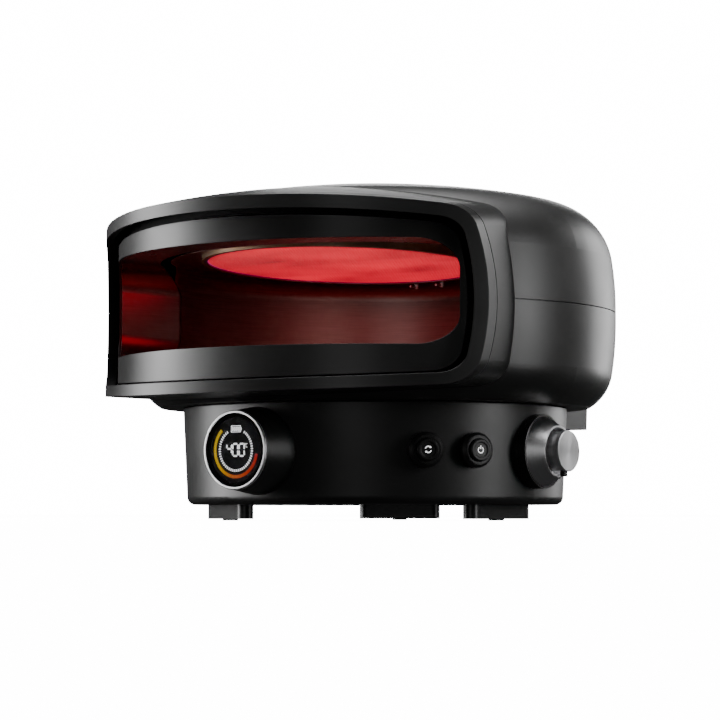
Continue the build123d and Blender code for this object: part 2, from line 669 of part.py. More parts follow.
def body_gasket():
    """Black gasket between drum and body."""
    seal = ring(DRUM_R - 6, FLANGE_IN_R, DRUM_TOP, BODY_LOW)
    return screw_holes(seal, BODY_SCREWS, 2.1, 0, HUGE)


def rear_box():
    """Shallow box behind the drum that houses the gas inlet, drafted on its sides."""
    low, high, half = BODY_LOW - REAR_BOX_H, BODY_LOW + REAR_BOX_RISE, REAR_BOX_W / 2
    corners = [(-half + 1, low), (half - 1, low), (half, high), (-half, high)]
    outline = Plane.XZ.offset(-100) * make_face(Polyline(*corners, close=True))
    box = extrude(outline, -(REAR_BOX_BACK - 100))
    box -= block(-half + 2.5, half - 2.5, 0, REAR_BOX_BACK - 1.5, low + 1.5, high - 1.5) + BODY
    box -= drum_solid() + disc(FLANGE_IN_R, 0, HUGE) + disc(DRUM_R, DRUM_TOP - 1, HUGE)
    box -= along_y(INLET_NECK_R, RISER_Y + 8, HUGE, PIPE_Z, INLET_X)
    return box - disc(PIPE_R + 1, BODY_LOW, HUGE, 0, RISER_Y)


def gas_inlet():
    """Brass nipple for the hose, with a neck through the wall of the box."""
    nipple = along_y(INLET_R, REAR_BOX_BACK, RIM_R, PIPE_Z, INLET_X)
    nipple += along_y(INLET_NECK_R, REAR_BOX_BACK - 7, REAR_BOX_BACK, PIPE_Z, INLET_X)
    return nipple - along_y(PIPE_R, REAR_BOX_BACK - 12, RIM_R + 1, PIPE_Z, INLET_X)


# ---- controls ----------------------------------------------------------------------------------------------
def lathe(angle, steps):
    """Turned piece on the drum: (radius, start, end) steps along the outward normal."""
    place = facing(angle, CONTROL_R, CONTROL_Z)
    pieces = [Pos(0, 0, (a + b) / 2) * Cylinder(r, b - a) for r, a, b in steps]
    solid = pieces[0]
    for piece in pieces[1:]:
        solid += piece
    return place * solid


def tapered(angle, low_r, high_r, low, high):
    """Cone on the drum along the outward normal."""
    place = facing(angle, CONTROL_R, CONTROL_Z)
    return place * Pos(0, 0, (low + high) / 2) * Cone(low_r, high_r, high - low)


DISPLAY_LIP = DISPLAY_REACH - 2.5


def display_housing():
    """Tapered round pod that stands out of the front of the drum."""
    slope = (DISPLAY_BACK_R - DISPLAY_FACE_R) / DISPLAY_LIP
    pod = tapered(0, DISPLAY_BACK_R + 6 * slope, DISPLAY_FACE_R, -6, DISPLAY_LIP)
    return pod - drum_solid() - lathe(0, [(DISPLAY_FACE_R - 4.5, -30, HUGE)])


def display_ring():
    """Bright metal trim round the face."""
    trim = lathe(0, [(DISPLAY_FACE_R, DISPLAY_LIP, DISPLAY_REACH)])
    trim = fillet(trim.edges().sort_by(Axis.Y)[:1], 0.9)
    return trim - lathe(0, [(DISPLAY_FACE_R - DISPLAY_RING_W, -30, HUGE)])


def display_lens():
    """Smoked glass over the display."""
    return lathe(0, [(DISPLAY_FACE_R - DISPLAY_RING_W - 0.1, DISPLAY_LIP, DISPLAY_REACH - 1.0)])


def display_panel():
    """Segment display soldered to its round circuit board."""
    glass = (DISPLAY_FACE_R - 6, DISPLAY_LIP - 3.2, DISPLAY_LIP - 0.2)
    board = (DISPLAY_FACE_R - 5, DISPLAY_LIP - 4.8, DISPLAY_LIP - 3.2)
    plug = (6.0, DISPLAY_LIP - 9, DISPLAY_LIP - 4.8)
    return lathe(0, [glass, board, plug])


def button_bezel(angle):
    """Collar round a push button, stepped towards its face, with a neck in the wall."""
    body = lathe(angle, [(BUTTON_BEZEL_R, -3, BUTTON_BEZEL_H - 2.5)]) - drum_solid()
    step = tapered(angle, BUTTON_BEZEL_R, BUTTON_RING_R + 0.6, BUTTON_BEZEL_H - 2.5, BUTTON_BEZEL_H)
    rim = lathe(angle, [(BUTTON_RING_R, BUTTON_BEZEL_H, BUTTON_BEZEL_H + 0.6)])
    neck = lathe(angle, [(BUTTON_CAP_R + 2.4, -8, 2)])
    return body + step + rim + neck - lathe(angle, [(BUTTON_CAP_R + BUTTON_GAP, -30, HUGE)])


def button_cap(angle):
    """Push button with a dished face and a flange that keeps it in."""
    cap = lathe(angle, [(BUTTON_CAP_R, -8.4, BUTTON_REACH)])
    cap = chamfer(cap.edges().sort_by_distance(facing(angle, 2 * CONTROL_R, CONTROL_Z).origin)[:1], 1.2)
    cap += lathe(angle, [(BUTTON_CAP_R + 1.6, -9.8, -8.3)])
    return cap - tapered(angle, BUTTON_CAP_R - 3.6, BUTTON_CAP_R - 2.6, BUTTON_REACH - 0.8, BUTTON_REACH + 0.1)


def button_spring(angle):
    """Return spring behind the button."""
    return facing(angle, CONTROL_R, CONTROL_Z) * Pos(0, 0, -15.8) * coil(5.5, 0.4, 5.8, 4)


def button_board():
    """Curved strip behind the buttons with the switch that each one presses."""
    outer = CONTROL_R - 20.5
    strip = ring(outer, outer - 2.5, CONTROL_Z - 14, CONTROL_Z + 14)
    low, high = min(BUTTON_ANGLES.values()) - 8, max(BUTTON_ANGLES.values()) + 6
    wedge = [(0, 0)]
    for angle in (low, (low + high) / 2, high):
        wedge.append((HUGE * sin(radians(angle)), -HUGE * cos(radians(angle))))
    strip &= extrude(make_face(Polyline(*wedge, close=True)), HUGE)
    for angle in BUTTON_ANGLES.values():
        place = facing(angle, CONTROL_R, CONTROL_Z)
        strip += place * (Pos(0, 0, -18.5) * Box(12, 12, 5) + Pos(0, 0, -14.4) * Cylinder(2, 3.4))
    return strip


def knob_skirt():
    """Black ribbed collar at the wall."""
    collar = lathe(90, [(KNOB_SKIRT_R, -4, KNOB_SKIRT_H)]) - drum_solid()
    for place in (1.6, 3.6, 5.6, 7.6):
        groove = lathe(90, [(KNOB_SKIRT_R + 1, place, place + 0.7)])
        collar -= groove - lathe(90, [(KNOB_SKIRT_R - 0.8, place - 1, place + 2)])
    return collar - lathe(90, [(15.0, -30, HUGE)])


def knob_cone():
    """Brushed conical bezel with a deep well for the grip."""
    tip = KNOB_SKIRT_H + KNOB_CONE_H
    cone = tapered(90, KNOB_CONE_R, KNOB_CONE_TIP_R, KNOB_SKIRT_H, tip)
    cone -= lathe(90, [(KNOB_CONE_TIP_R - 1.6, KNOB_SKIRT_H + 3, HUGE)])
    return cone - lathe(90, [(9.2, -30, HUGE)])


def gas_knob():
    """Spun-metal grip on the valve stem: a face disc on a slightly smaller barrel."""
    start, end = KNOB_SKIRT_H + KNOB_TRAVEL + 4, KNOB_REACH
    back = end - KNOB_FACE_T
    face = lathe(90, [(KNOB_GRIP_R, back, end)])
    face = chamfer(face.edges().sort_by(Axis.X)[-1:], 0.6)
    grip = face + lathe(90, [(KNOB_GRIP_R - 0.9, start, back)])
    place = facing(90, CONTROL_R, CONTROL_Z)
    grip -= place * Pos(0, 1 - KNOB_GRIP_R, back - 2) * Box(5.0, 5, 4)
    return grip - lathe(90, [(STEM_R, -30, end - 5)])


def knob_pointer():
    """Small dark tab on the barrel that marks the setting."""
    place = facing(90, CONTROL_R, CONTROL_Z)
    low = 1 - KNOB_GRIP_R + 2.5
    tab = Pos(0, low - 3.8, KNOB_REACH - KNOB_FACE_T - 2) * Box(5.0, 7.4, 4)
    return place * tab


def valve_stem():
    """Stem that joins the grip to the valve."""
    return lathe(90, [(STEM_R, -34.0, KNOB_REACH - 5)])


def valve_plunger():
    """Safety plunger that the stem pushes."""
    return lathe(90, [(STEM_R - 0.05, -38.4, -34.2)])


def gas_valve():
    """Brass valve body behind the knob, with a port for each pipe."""
    height = 22.0
    body = block(VALVE_BACK, VALVE_FRONT, -11, 11, CONTROL_Z - height / 2, CONTROL_Z + height / 2)
    body += lathe(90, [(9.0, VALVE_FRONT - CONTROL_R, 3.0)])
    body += along_y(6.0, 11, 17, CONTROL_Z, VALVE_BACK + 10)
    body += disc(6.0, CONTROL_Z + 11, CONTROL_Z + 16, VALVE_FRONT - 12, 0)
    body -= lathe(90, [(STEM_R + RUNNING_FIT, -42.5, HUGE)])
    body -= along_y(PIPE_R, 12, 18, CONTROL_Z, VALVE_BACK + 10)
    return body - disc(PIPE_R, CONTROL_Z + 12, CONTROL_Z + 17, VALVE_FRONT - 12, 0)


# ---- electrics ------------------------------------------------------------------------------------------------
BOARD_X, BOARD_Y = -80.0, -64.0
BOARD_Z = BASE_TOP_Z + 5


def control_board():
    """Main circuit board with its larger parts."""
    board = block(BOARD_X - 35, BOARD_X + 35, BOARD_Y - 30, BOARD_Y + 30, BOARD_Z, BOARD_Z + 1.6)
    top = BOARD_Z + 1.6
    board += block(BOARD_X - 8, BOARD_X + 8, BOARD_Y - 8, BOARD_Y + 8, top, top + 1.8)
    board += block(BOARD_X + 18, BOARD_X + 30, BOARD_Y - 18, BOARD_Y - 4, top, top + 9)
    for y in (-16, 0, 16):
        board += disc(4.0, top, top + 10, BOARD_X - 26, BOARD_Y + y)
    return board


def battery_frame(x0, x1, low, high, inner, outer):
    """Box in the battery bay: across, up and outwards from the axis."""
    place = facing(BATTERY_ANGLE, 0, CONTROL_Z)
    spot = Pos((x0 + x1) / 2, (low + high) / 2, (inner + outer) / 2)
    return place * spot * Box(x1 - x0, high - low, outer - inner)


CELL_X = BATTERY_R + 0.5
TRAY_OUT = CONTROL_R - 10.0
TRAY_IN = TRAY_OUT - BATTERY_L - 8.0


def battery_tray():
    """Open-ended tray for two cells, on two ribs."""
    half, tall = 2 * BATTERY_R + 2.5, BATTERY_R + 2.0
    tray = battery_frame(-half, half, -tall, tall, TRAY_IN, TRAY_OUT)
    tray -= battery_frame(1.5 - half, half - 1.5, 1.5 - tall, tall - 1.5, TRAY_IN + 1.5, HUGE)
    drop = BASE_TOP_Z - CONTROL_Z
    for side in (-1, 1):
        x0, x1 = sorted((side * 20, side * 23))
        tray += battery_frame(x0, x1, drop, -tall, TRAY_IN + 6, TRAY_OUT - 8)
    return tray


def battery_cells():
    """Two cells side by side, raised contacts towards the drum's middle."""
    place = facing(BATTERY_ANGLE, 0, CONTROL_Z)
    start = TRAY_IN + 3.5
    cell = Pos(0, 0, start + BATTERY_L / 2) * Cylinder(BATTERY_R, BATTERY_L)
    cell += Pos(0, 0, start - 0.75) * Cylinder(4.0, 1.5)
    return Compound(children=[place * Pos(side * CELL_X, 0, 0) * cell for side in (-1, 1)])


def battery_door():
    """Curved door in the drum wall with one hinge knuckle and a finger lip."""
    door = drum_shell() & door_block(BATTERY_DOOR_GAP)
    place = facing(BATTERY_ANGLE, HINGE_OUT, CONTROL_Z)
    door += place * Pos(HINGE_T - 7, 0, -1.2) * Box(14, 12, 2.4)
    door += hinge_bar(-6, 6, 2.4)
    door += place * Pos(4 - DOOR_HALF_W, 0, -1.8) * Box(3, 24, 3.4)
    return door - hinge_bar(-7, 7, PIN_R + RUNNING_FIT)


def battery_door_pin():
    """Hinge pin of the battery door."""
    return hinge_bar(-12, 12, PIN_R)


# ---- feet and fasteners ------------------------------------------------------------------------------------------
def foot_place(name):
    """Frame of one foot: X along the drum's edge, origin on the floor."""
    turn = radians(FOOT_ANGLES[name])
    return Pos(FOOT_RING_R * sin(turn), -FOOT_RING_R * cos(turn), 0) * Rot(0, 0, FOOT_ANGLES[name])


def feet():
    """Round-ended feet, each with a socket for its pad."""
    solids = []
    for name in FOOT_ANGLES:
        height = BASE_FLOOR_Z - FOOT_BOTTOM
        solid = Pos(0, 0, FOOT_BOTTOM) * extrude(SlotOverall(FOOT_L[name], FOOT_W), height)
        solids.append(foot_place(name) * (solid - disc(PAD_R, 0, FOOT_BOTTOM + PAD_SINK)))
    return Compound(children=solids)


def foot_pads():
    """Round rubber pads under the feet."""
    pad = disc(PAD_R, 0, FOOT_BOTTOM + PAD_SINK)
    return Compound(children=[foot_place(name) * pad for name in FOOT_ANGLES])


def screw_set(places, height, shape):
    """Identical screws at several places, in one group."""
    return Compound(children=[Pos(x, y, height) * shape for x, y in places])


def base_screws():
    """Screws that hold the base floor in the drum."""
    shape = screw(1.5, 2 * FLOOR_T - SCREW_HEAD_H, SCREW_HEAD_R, SCREW_HEAD_H)
    return screw_set(BASE_SCREWS, FOOT_H + SCREW_HEAD_H, shape)


def body_screws():
    """Screws that hold the drum under the body."""
    length = BODY_PLATE_Z + PLATE_T - (DRUM_TOP - FLOOR_T)
    return screw_set(BODY_SCREWS, DRUM_TOP - FLOOR_T, screw(2.0, length, 3.6, 2.2))


# ---- pipes ---------------------------------------------------------------------------------------------------------
def gas_riser():
    """Pipe from the valve, round the drum, up behind the cavity to the mixing tube."""
    x0 = VALVE_FRONT - 12
    points = [
        (x0, 0, CONTROL_Z + 12),
        (x0, 0, PIPE_Z),
        (0.7 * x0, 0.7 * x0, PIPE_Z),
        (0, x0, PIPE_Z),
        (0, RISER_Y, PIPE_Z),
        (0, RISER_Y, CEILING_Z - 14),
        (0, RISER_Y - 14, VENTURI_Z),
        (0, VENTURI_END + 2, VENTURI_Z),
    ]
    return pipe(points, 9)


def gas_feed():
    """Pipe from the inlet to the valve."""
    turn_y, port_x = DRUM_R - 23, VALVE_BACK + 10
    points = [
        (INLET_X, REAR_BOX_BACK - 7, PIPE_Z),
        (INLET_X, turn_y, PIPE_Z),
        (INLET_X, turn_y, CONTROL_Z),
        (port_x - 14, turn_y / 2, CONTROL_Z),
        (port_x, 38, CONTROL_Z),
        (port_x, 12, CONTROL_Z),
    ]
    return pipe(points, 9)


# ---- the whole oven ---------------------------------------------------------------------------
def all_pieces():
    """Every piece by name."""
    makers = [
        upper_shell, lower_shell, front_visor, front_bezel, mouth_plate, mouth_frame, mouth_throat,
        cavity_liner, cavity_floor, side_insulation, floor_insulation, bottom_plate,
        burner_plaque, burner_ring, burner_box, burner_probes, venturi_tube,
        gas_riser, gas_feed, gas_inlet, rear_box, gas_valve, valve_stem, valve_plunger,
        knob_skirt, knob_cone, gas_knob, knob_pointer,
        pizza_stone, turntable_carrier, turntable_shaft, drive_gear, bearing_housing, shaft_bushes,
        motor_pinion, gear_motor, motor_bracket,
        base_drum, base_floor, body_gasket, body_screws, base_screws, feet, foot_pads,
        display_housing, display_ring, display_lens, display_panel, button_board, control_board,
        battery_tray, battery_cells, battery_door, battery_door_pin,
    ]
    pieces = {maker.__name__: maker() for maker in makers}
    for name, angle in BUTTON_ANGLES.items():
        pieces[name + "_button_bezel"] = button_bezel(angle)
        pieces[name + "_button_cap"] = button_cap(angle)
        pieces[name + "_button_spring"] = button_spring(angle)
    return pieces


if __name__ == "__main__":
    os.makedirs("parts", exist_ok=True)
    for name, shape in all_pieces().items():
        export_step(shape, "parts/" + name + ".step")
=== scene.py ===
"""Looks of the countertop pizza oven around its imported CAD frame. Lengths are in metres."""
import json
import math

import bmesh
import bpy
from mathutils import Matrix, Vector


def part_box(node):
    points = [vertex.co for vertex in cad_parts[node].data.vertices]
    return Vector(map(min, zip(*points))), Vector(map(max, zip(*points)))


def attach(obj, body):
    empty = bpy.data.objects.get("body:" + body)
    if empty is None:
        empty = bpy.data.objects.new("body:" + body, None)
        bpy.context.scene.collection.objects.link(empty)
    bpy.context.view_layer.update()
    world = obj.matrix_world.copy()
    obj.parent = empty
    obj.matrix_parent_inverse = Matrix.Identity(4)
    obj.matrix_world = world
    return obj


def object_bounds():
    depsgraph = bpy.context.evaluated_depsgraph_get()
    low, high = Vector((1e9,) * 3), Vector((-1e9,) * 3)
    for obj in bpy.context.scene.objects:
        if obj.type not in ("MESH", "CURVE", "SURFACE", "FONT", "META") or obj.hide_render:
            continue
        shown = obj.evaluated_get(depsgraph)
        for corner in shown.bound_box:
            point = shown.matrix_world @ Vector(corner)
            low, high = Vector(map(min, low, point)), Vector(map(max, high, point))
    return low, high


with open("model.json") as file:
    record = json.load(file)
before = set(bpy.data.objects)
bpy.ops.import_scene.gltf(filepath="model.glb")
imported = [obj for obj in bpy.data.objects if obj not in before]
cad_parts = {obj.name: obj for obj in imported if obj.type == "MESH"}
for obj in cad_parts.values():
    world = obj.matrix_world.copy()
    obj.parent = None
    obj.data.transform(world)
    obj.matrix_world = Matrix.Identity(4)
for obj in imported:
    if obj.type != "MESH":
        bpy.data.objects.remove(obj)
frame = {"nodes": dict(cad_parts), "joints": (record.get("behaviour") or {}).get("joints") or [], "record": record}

CAD_LOW, CAD_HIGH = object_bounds()

MM = 0.001
NODES = frame["nodes"]
JOINTS = {joint["name"]: joint for joint in frame["joints"]}
UP = Vector((0, 0, 1))


# ---- camera, stage and light ------------------------------------------------------------------
CAMERA_AZIMUTH = math.radians(36.0)
CAMERA_AWAY = 2.215
CAMERA_HEIGHT = 5.7 * MM
AIM_LEFT = 13.4 * MM
AIM_HEIGHT = 0.142
LENS = 125.0
SENSOR = 36.0
FLOOR_HALF = 12.0
SKY_TO_CAMERA = 16.0
SKY_TO_OBJECT = 0.03
SUN_STRENGTH = 4.1
FLOOR_GLOW = 14.0
SUN_SPREAD = math.radians(70)

# name: azimuth (degrees), height, distance, width, tall, power (watts)
SOFTBOXES = {
    "left_box": (-62, 0.30, 1.35, 0.62, 1.0, 21.0),
    "right_box": (104, 0.30, 1.35, 0.34, 0.9, 7.0),
    "back_box": (168, 0.45, 1.60, 0.60, 0.9, 11.0),
    "back_left_box": (-150, 0.45, 1.60, 0.7, 0.9, 14.0),
    "top_box": (20, 1.40, 0.35, 0.9, 0.9, 5.0),
    "front_fill": (24, 0.20, 2.20, 0.8, 0.9, 1.9),
    "display_strip": (-40, 0.08, 1.60, 0.16, 0.5, 1.6),
}


def outward(azimuth):
    """Level direction away from the oven's axis. Azimuth 0 is the front and 90 the knob's side."""
    return Vector((math.sin(azimuth), -math.cos(azimuth), 0))


def rightward(azimuth):
    """Level direction to the right of someone who faces the oven from that azimuth."""
    return Vector((math.cos(azimuth), math.sin(azimuth), 0))


def aim(thing, place, target):
    """Puts a camera or light at a place and points it at a target."""
    thing.location = place
    thing.rotation_euler = (Vector(target) - Vector(place)).to_track_quat("-Z", "Y").to_euler()
    bpy.context.scene.collection.objects.link(thing)
    return thing


def add_camera():
    lens = bpy.data.cameras.new("camera")
    lens.lens = LENS
    lens.sensor_width = SENSOR
    lens.clip_start = 0.01
    lens.clip_end = 60
    camera = bpy.data.objects.new("camera", lens)
    place = CAMERA_AWAY * outward(CAMERA_AZIMUTH) + CAMERA_HEIGHT * UP
    aim(camera, place, AIM_HEIGHT * UP - AIM_LEFT * rightward(CAMERA_AZIMUTH))
    bpy.context.scene.camera = camera


def add_softbox(name, azimuth, height, distance, width, tall, power):
    light = bpy.data.lights.new(name, "AREA")
    light.shape = "RECTANGLE"
    light.size = width
    light.size_y = tall
    light.energy = power
    lamp = bpy.data.objects.new(name, light)
    lamp.visible_camera = False
    aim(lamp, distance * outward(math.radians(azimuth)) + height * UP, (0, 0, CAD_HIGH.z / 2))


def add_sun():
    """Wide, even light from above that keeps the floor pale."""
    light = bpy.data.lights.new("sun", "SUN")
    light.energy = SUN_STRENGTH
    light.angle = SUN_SPREAD
    light.specular_factor = 0.1
    aim(bpy.data.objects.new("sun", light), (0, 0, 3), (0, 0, 0))


def add_sky():
    """White behind the object, dim where it would light the object."""
    world = bpy.data.worlds.new("sky")
    world.use_nodes = True
    tree = world.node_tree
    seen = tree.nodes.new("ShaderNodeLightPath")
    level = tree.nodes.new("ShaderNodeMapRange")
    level.inputs["To Min"].default_value = SKY_TO_OBJECT
    level.inputs["To Max"].default_value = SKY_TO_CAMERA
    tree.links.new(seen.outputs["Is Camera Ray"], level.inputs["Value"])
    tree.links.new(level.outputs["Result"], tree.nodes["Background"].inputs["Strength"])
    tree.nodes["Background"].inputs["Color"].default_value = (1, 1, 1, 1)
    bpy.context.scene.world = world


def add_floor():
    mesh = bpy.data.meshes.new("floor")
    corners = [(x * FLOOR_HALF, y * FLOOR_HALF, 0) for x, y in ((-1, -1), (1, -1), (1, 1), (-1, 1))]
    mesh.from_pydata(corners, [], [(0, 1, 2, 3)])
    floor = bpy.data.objects.new("floor", mesh)
    bpy.context.scene.collection.objects.link(floor)
    paint = bpy.data.materials.new("floor_paint")
    paint.use_nodes = True
    shader = paint.node_tree.nodes["Principled BSDF"]
    shader.inputs["Base Color"].default_value = (0.82, 0.82, 0.82, 1)
    shader.inputs["Roughness"].default_value = 0.9
    shader.inputs["Specular IOR Level"].default_value = 0.0
    shader.inputs["Emission Color"].default_value = (1, 1, 1, 1)
    shader.inputs["Emission Strength"].default_value = FLOOR_GLOW
    mesh.materials.append(paint)
    floor.visible_glossy = False
    floor.visible_diffuse = False
    floor.visible_transmission = False


# ---- node building ------------------------------------------------------------------------------
# Sockets of Blender's mix node when it blends colours.
MIX_LOW, MIX_HIGH, MIX_RESULT = 6, 7, 2


class Paint:
    """One material's node tree around a Principled shader, with short names for common nodes."""

    def __init__(self, name, color, **settings):
        self.material = bpy.data.materials.new(name)
        self.material.use_nodes = True
        self.tree = self.material.node_tree
        self.shader = self.tree.nodes["Principled BSDF"]
        self.set("Base Color", color)
        for socket, value in settings.items():
            self.set(socket.replace("_", " "), value)
        self.place = self.node("ShaderNodeTexCoord").outputs["Object"]

    def set(self, socket, value):
        """A plain value, a colour or another node's output, on one socket of the shader."""
        self.feed(self.shader.inputs[socket], value)

    def feed(self, socket, value):
        if isinstance(value, bpy.types.NodeSocket):
            self.tree.links.new(value, socket)
        elif isinstance(value, tuple) and len(value) == 3 and socket.type == "RGBA":
            socket.default_value = (*value, 1)
        else:
            socket.default_value = value

    def node(self, kind, **settings):
        made = self.tree.nodes.new(kind)
        for name, value in settings.items():
            setattr(made, name, value)
        return made

    def math(self, operation, *values):
        made = self.node("ShaderNodeMath", operation=operation)
        for socket, value in zip(made.inputs, values):
            self.feed(socket, value)
        return made.outputs[0]

    def vector(self, operation, *values):
        made = self.node("ShaderNodeVectorMath", operation=operation)
        for socket, value in zip(made.inputs, values):
            self.feed(socket, value)
        return made.outputs["Value" if operation in ("LENGTH", "DOT_PRODUCT") else "Vector"]

    def scaled(self, factors, place=None):
        return self.vector("MULTIPLY", place or self.place, factors)

    def noise(self, place, detail=2.0, roughness=0.5, distortion=0.0):
        made = self.node("ShaderNodeTexNoise")
        self.feed(made.inputs["Vector"], place)
        made.inputs["Scale"].default_value = 1.0
        made.inputs["Detail"].default_value = detail
        made.inputs["Roughness"].default_value = roughness
        made.inputs["Distortion"].default_value = distortion
        return made.outputs["Fac"]

    def span(self, value, low, high, out_low=0.0, out_high=1.0, smooth=False):
        """Maps low..high to out_low..out_high, held at the ends."""
        made = self.node("ShaderNodeMapRange")
        made.interpolation_type = "SMOOTHSTEP" if smooth else "LINEAR"
        for name, number in zip(("From Min", "From Max", "To Min", "To Max"), (low, high, out_low, out_high)):
            self.feed(made.inputs[name], number)
        self.feed(made.inputs["Value"], value)
        return made.outputs["Result"]

    def mix(self, factor, low, high):
        """Blends two colours."""
        made = self.node("ShaderNodeMix", data_type="RGBA")
        for socket, value in (("Factor", factor), (MIX_LOW, low), (MIX_HIGH, high)):
            self.feed(made.inputs[socket], value)
        return made.outputs[MIX_RESULT]

    def ramp(self, factor, stops):
        made = self.node("ShaderNodeValToRGB")
        elements = made.color_ramp.elements
        for element, (spot, color) in zip(elements, (stops[0], stops[-1])):
            element.position = spot
            element.color = (*color, 1)
        for spot, color in stops[1:-1]:
            elements.new(spot).color = (*color, 1)
        self.feed(made.inputs["Fac"], factor)
        return made.outputs["Color"]

    def bump(self, height, depth, strength=1.0, rounding=0.0):
        """Surface relief of a real depth, over edges that are rounded by a real radius."""
        made = self.node("ShaderNodeBump")
        made.inputs["Strength"].default_value = strength
        made.inputs["Distance"].default_value = depth
        self.feed(made.inputs["Height"], height)
        if rounding:
            edge = self.node("ShaderNodeBevel", samples=4)
            edge.inputs["Radius"].default_value = rounding
            self.feed(made.inputs["Normal"], edge.outputs["Normal"])
        self.set("Normal", made.outputs["Normal"])

    def around(self, centre):
        """(offset from a centre, distance from it) of each point."""
        offset = self.vector("SUBTRACT", self.place, tuple(centre))
        return offset, self.vector("LENGTH", offset)


def hex_cells(paint, place, pitch):
    """Distance to the nearest point of a hexagonal lattice, in pitches."""
    step = (1.0, math.sqrt(3), 1.0)
    flat = paint.scaled((1 / pitch, 1 / pitch / step[1], 0), place)
    spots = []
    for start in (0.0, 0.5):
        cell = paint.vector("FRACTION", paint.vector("ADD", flat, (start, start, 0)))
        centred = paint.vector("SUBTRACT", cell, (0.5, 0.5, 0))
        spots.append(paint.vector("LENGTH", paint.vector("MULTIPLY", centred, step)))
    return paint.math("MINIMUM", *spots)


# ---- materials of the CAD nodes -----------------------------------------------------------------
def satin_paint(name, color, rough, peel=1100.0, depth=0.010 * MM, rounding=0.7 * MM, sheen=0.5):
    """Baked satin enamel: fine orange peel, slow changes of gloss and tone, softly rounded edges."""
    paint = Paint(name, color, Specular_IOR_Level=sheen)
    cloudy = paint.noise(paint.scaled((14.0,) * 3), detail=3)
    tone = tuple(1.5 * c for c in color)
    paint.set("Base Color", paint.mix(paint.span(cloudy, 0.3, 0.8), color, tone))
    fine = paint.noise(paint.scaled((peel,) * 3), detail=2)
    gloss = paint.math("MULTIPLY_ADD", fine, 0.06, paint.span(cloudy, 0.3, 0.7, rough - 0.04, rough + 0.04))
    paint.set("Roughness", gloss)
    paint.bump(fine, depth, rounding=rounding)
    return paint.material


def moulded_plastic(name, color, rough, texture=2400.0, depth=0.02 * MM, rounding=0.4 * MM):
    """Spark-eroded moulded plastic: fine pits and a slightly uneven sheen."""
    paint = Paint(name, color)
    pits = paint.noise(paint.scaled((texture,) * 3), detail=4, roughness=0.6)
    cloudy = paint.noise(paint.scaled((22.0,) * 3), detail=2)
    paint.set("Base Color", paint.mix(paint.span(cloudy, 0.3, 0.7), color, tuple(1.3 * c for c in color)))
    paint.set("Roughness", paint.span(pits, 0.2, 0.8, rough - 0.06, rough + 0.06))
    paint.bump(pits, depth, rounding=rounding)
    return paint.material


def sheet_steel(name, color, rough, grain, tone_and_painted_glow=None, depth=0.006 * MM, smudge=0.12):
    """Brushed sheet: grain stretched along its rolling direction, with faint smudges."""
    paint = Paint(name, color, Metallic=1.0)
    lines = paint.noise(paint.scaled(grain), detail=3, roughness=0.65)
    clouds = paint.noise(paint.scaled((18.0,) * 3), detail=4)
    dark = tuple(0.72 * c for c in color)
    shade = paint.mix(paint.span(lines, 0.3, 0.7), dark, color)
    if tone_and_painted_glow:
        # Cloudy patches of a second colour: a real tone on plated steel, and a painted reflection of the burner's
        # red glow on the cavity walls.
        shade = paint.mix(paint.span(clouds, 0.45, 0.75, 0, 0.8), shade, tone_and_painted_glow)
    paint.set("Base Color", shade)
    paint.set("Roughness", paint.span(clouds, 0.3, 0.7, rough - smudge / 2, rough + smudge / 2))
    paint.bump(lines, depth, rounding=0.2 * MM)
    return paint.material


def turned_metal(name, color, rough, centre, axis, rings=2600.0, depth=0.0012 * MM, anisotropy=0.45):
    """Metal finished on a lathe: concentric grooves about an axis, and the streaks they throw."""
    paint = Paint(name, color, Metallic=1.0, Anisotropic=anisotropy)
    offset, _ = paint.around(centre)
    along = paint.vector("DOT_PRODUCT", offset, tuple(axis))
    flat = paint.vector("SUBTRACT", offset, paint.scaled((1, 1, 1), paint_axis(paint, axis, along)))
    radius = paint.vector("LENGTH", flat)
    path = paint.node("ShaderNodeCombineXYZ")
    paint.feed(path.inputs["X"], paint.math("MULTIPLY", radius, rings))
    paint.feed(path.inputs["Y"], paint.math("MULTIPLY", along, rings))
    grooves = paint.noise(path.outputs["Vector"], detail=3, roughness=0.7)
    streaks = paint.noise(paint.scaled((90.0,) * 3), detail=2)
    paint.set("Base Color", paint.mix(paint.span(grooves, 0.25, 0.75), tuple(0.8 * c for c in color), color))
    paint.set("Roughness", paint.span(streaks, 0.3, 0.7, rough - 0.04, rough + 0.05))
    paint.bump(grooves, depth, rounding=0.25 * MM)
    tangent = paint.node("ShaderNodeTangent", direction_type="RADIAL")
    tangent.axis = "XYZ"[max(range(3), key=lambda i: abs(axis[i]))]
    paint.set("Tangent", tangent.outputs["Tangent"])
    return paint.material


def paint_axis(paint, axis, along):
    """The axis direction scaled by a distance along it."""
    made = paint.node("ShaderNodeVectorMath", operation="SCALE")
    made.inputs[0].default_value = tuple(axis)
    paint.feed(made.inputs["Scale"], along)
    return made.outputs["Vector"]


FLAME_HOLE_PITCH = 3.0 * MM
FLAME_HOLE_DEPTH = 0.8 * MM


